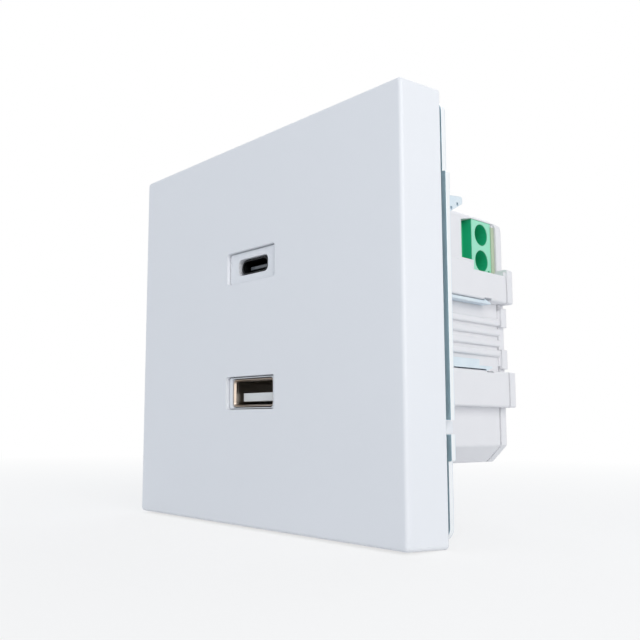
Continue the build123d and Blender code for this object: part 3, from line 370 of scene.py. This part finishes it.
def make_materials():
    """Every material: the record's slots by their names, and a lighter copy of the USB-A shell's steel,
    painted light for the shell's edge.
    """
    return {
        "plate_white": moulded("plate_white", (0.845, 0.862, 0.895), 0.42, mottle=0.008),
        "module_white": moulded("module_white", (0.83, 0.825, 0.845), 0.5, 3000.0, 0.006 * MM, 0.015),
        "galvanised_steel": rolled_steel(
            "galvanised_steel",
            blue=(0.67, 0.78, 0.87),
            green=(0.80, 0.88, 0.92),
            # The front face's pale blue is a painted reflection, and the edges' near-white a painted
            # highlight
            front_zinc_and_painted_reflection=(0.72, 0.93, 1.0),
            edge=(0.90, 0.925, 0.945),
            roughness=0.34,
        ),
        # Dark brown steel for the USB-A shell: its tone darkened as painted shade inside the port
        "port_steel": drawn_metal("port_steel", (0.28, 0.245, 0.21), 0.3),
        "port_black": drawn_metal("port_black", (0.035, 0.037, 0.04), 0.4),
        "tongue_white": moulded("tongue_white", (0.89, 0.92, 0.93), 0.35),
        # The tongue's black plastic, lightened to dark grey as a painted highlight along the tongue
        "tongue_black": moulded("tongue_black", (0.16, 0.18, 0.20), 0.3),
        "contact_gold": drawn_metal("contact_gold", (0.83, 0.64, 0.32), 0.25),
        "terminal_green": terminal_plastic("terminal_green"),
        "terminal_metal": drawn_metal("terminal_metal", (0.72, 0.66, 0.54), 0.32),
        "screw_steel": drawn_metal("screw_steel", (0.62, 0.63, 0.65), 0.3),
        "board_green": laminate("board_green", (0.40, 0.50, 0.36), (0.55, 0.62, 0.44)),
        "ferrite": moulded("ferrite", (0.045, 0.045, 0.05), 0.6, 2500.0, 0.01 * MM, 0.2),
        "copper_wire": wound("copper_wire", (0.70, 0.33, 0.15), 0.35, 1500.0),
        "coil_yellow": moulded("coil_yellow", (0.72, 0.55, 0.10), 0.45, mottle=0.05),
        "aluminium_bare": drawn_metal("aluminium_bare", (0.72, 0.73, 0.75), 0.36),
        "moulded_black": moulded("moulded_black", (0.025, 0.025, 0.028), 0.45, mottle=0.1),
        "moulded_grey": moulded("moulded_grey", (0.30, 0.31, 0.33), 0.5, mottle=0.06),
        "coated_blue": moulded("coated_blue", (0.05, 0.13, 0.42), 0.3, mottle=0.08),
        # Lighter copy of the USB-A shell's steel, painted light for the lit edge of the shell
        "painted_lit_lip_steel": drawn_metal("painted_lit_lip_steel", (0.48, 0.405, 0.345), 0.32),
    }


def dress_nodes(materials):
    """Materials on every CAD node, by the slot that the record gives it."""
    for entry in frame["record"]["subparts"]:
        mesh = NODES[entry["node"]].data
        mesh.materials.clear()
        mesh.materials.append(materials[entry["material_slot"]])


def rounded_loop(centre, half_width, half_height, corner, depth):
    """Points round an upright rectangle with rounded corners."""
    points = []
    for quarter, (side, rise) in enumerate(CORNERS):
        for step in range(CORNER_STEPS + 1):
            angle = math.radians(90 * (quarter + step / CORNER_STEPS))
            x = centre.x + side * (half_width - corner) + corner * math.cos(angle)
            z = centre.z + rise * (half_height - corner) + corner * math.sin(angle)
            points.append((x, depth, z))
    return points


def make_ring(name, centre, loops, material):
    """A closed ring through rounded loops, each with its half sizes, corner and depth."""
    points = []
    for half_width, half_height, corner, depth in loops:
        points += rounded_loop(centre, half_width, half_height, corner, depth)
    count = len(points) // len(loops)
    faces = []
    for index in range(len(loops)):
        here, there = index * count, (index + 1) % len(loops) * count
        for step in range(count):
            onward = (step + 1) % count
            faces.append((here + step, here + onward, there + onward, there + step))
    mesh = bpy.data.meshes.new(name)
    mesh.from_pydata(points, [], faces)
    mesh.materials.append(material)
    ring = bpy.data.objects.new(name, mesh)
    bpy.context.scene.collection.objects.link(ring)
    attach(ring, "socket")


def make_port_front(port, plastic, metal):
    """A facing on a port's pad, and an edge that brings its shell forward into the facing."""
    low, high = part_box(f"{port}_shell")
    centre, half = (low + high) / 2, (high - low) / 2
    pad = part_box("front_cover")[0].y
    face = pad - FACING_DEPTH
    outside = (*FACING_HALF, FACING_CORNER)
    hole = (*HOLE_HALF[port], HOLE_CORNER[port])
    facing = ((*outside, pad), (*outside, face), (*hole, face), (*hole, pad))
    make_ring(f"{port}_facing", centre, facing, plastic)
    mouth, tip = low.y, face + LIP_SETBACK[port]
    flare, inner = LIP_FLARE[port], LIP_FLARE[port] - LIP_RIM[port]
    outer_side = ((0.0, mouth), (0.0, tip + LIP_ROLL), (flare, tip))
    inner_side = ((inner, tip), (-LIP_SHEET, tip + LIP_ROLL), (-LIP_SHEET, mouth))
    lip = []
    for grow, depth in outer_side + inner_side:
        lip.append((half.x + grow, half.z + grow, LIP_CORNER[port] + grow, depth))
    make_ring(f"{port}_lip", centre, lip, metal)


def background_rays(tree):
    """1 for rays that see the background, straight or in metal and glass, and 0 for its light."""
    path = add(tree, "ShaderNodeLightPath")
    seen = path.outputs["Is Camera Ray"]
    for kind in ("Is Glossy Ray", "Is Transmission Ray"):
        seen = combined(tree, "MAXIMUM", seen, path.outputs[kind])
    return seen


def make_world():
    """Soft cool light all round, with a white background to look at."""
    world = bpy.data.worlds.new("studio")
    bpy.context.scene.world = world
    world.use_nodes = True
    tree = world.node_tree
    tree.nodes.clear()
    light = add(tree, "ShaderNodeBackground")
    light.inputs["Color"].default_value = WORLD_COLOUR
    light.inputs["Strength"].default_value = WORLD_STRENGTH
    white = add(tree, "ShaderNodeBackground")
    white.inputs["Color"].default_value = BACKGROUND_WHITE
    out = add(tree, "ShaderNodeOutputWorld")
    tree.links.new(mixed_shaders(tree, background_rays(tree), light, white), out.inputs["Surface"])


def make_floor():
    """A plain white floor that keeps a faint shadow near the socket and is white further off."""
    bpy.ops.mesh.primitive_plane_add(size=FLOOR_SIZE, location=(0, 0, CAD_BOX[0].z))
    floor = bpy.context.object
    floor.name = "floor"
    material, tree, shader = start("floor_white")
    shader.inputs["Base Color"].default_value = FLOOR_COLOUR
    shader.inputs["Roughness"].default_value = FLOOR_ROUGHNESS
    shader.inputs["Specular IOR Level"].default_value = 0.0
    glow = add(tree, "ShaderNodeEmission")
    glow.inputs["Color"].default_value = BACKGROUND_WHITE
    source = add(tree, "ShaderNodeTexCoord")
    distance = add(tree, "ShaderNodeVectorMath", operation="LENGTH")
    tree.links.new(source.outputs["Object"], distance.inputs[0])
    fade = ranged(tree, distance.outputs["Value"], FLOOR_FADE, FLOOR_GLOW)
    share = combined(tree, "MULTIPLY", background_rays(tree), fade)
    out = tree.nodes["Material Output"]
    tree.links.new(mixed_shaders(tree, share, shader, glow), out.inputs["Surface"])
    floor.data.materials.append(material)


def make_lights():
    """Square area lights that face the socket."""
    for name, (lamp_place, width, watts, colour) in LAMPS.items():
        data = bpy.data.lights.new(name, "AREA")
        data.size = width
        data.energy = watts
        data.color = colour
        lamp = bpy.data.objects.new(name, data)
        lamp.location = lamp_place
        lamp.rotation_euler = (-Vector(lamp_place)).to_track_quat("-Z", "Y").to_euler()
        bpy.context.scene.collection.objects.link(lamp)


def make_camera():
    """The camera at the photograph's place and angle."""
    data = bpy.data.cameras.new("camera")
    data.lens = CAMERA_LENS
    data.shift_x, data.shift_y = CAMERA_SHIFT
    data.clip_start = MM
    camera = bpy.data.objects.new("camera", data)
    turn = Matrix.Rotation(CAMERA_YAW, 4, "Z")
    tilt = Matrix.Rotation(math.radians(90) + CAMERA_PITCH, 4, "X")
    roll = Matrix.Rotation(CAMERA_ROLL, 4, "Z")
    camera.matrix_world = Matrix.Translation(CAMERA_PLACE) @ turn @ tilt @ roll
    bpy.context.scene.collection.objects.link(camera)
    bpy.context.scene.camera = camera


looks = make_materials()
dress_nodes(looks)
make_port_front("usb_a", looks["plate_white"], looks["painted_lit_lip_steel"])
make_port_front("usb_c", looks["plate_white"], looks["port_black"])
make_world()
make_floor()
make_lights()
make_camera()
bpy.context.scene.view_settings.view_transform = "Standard"
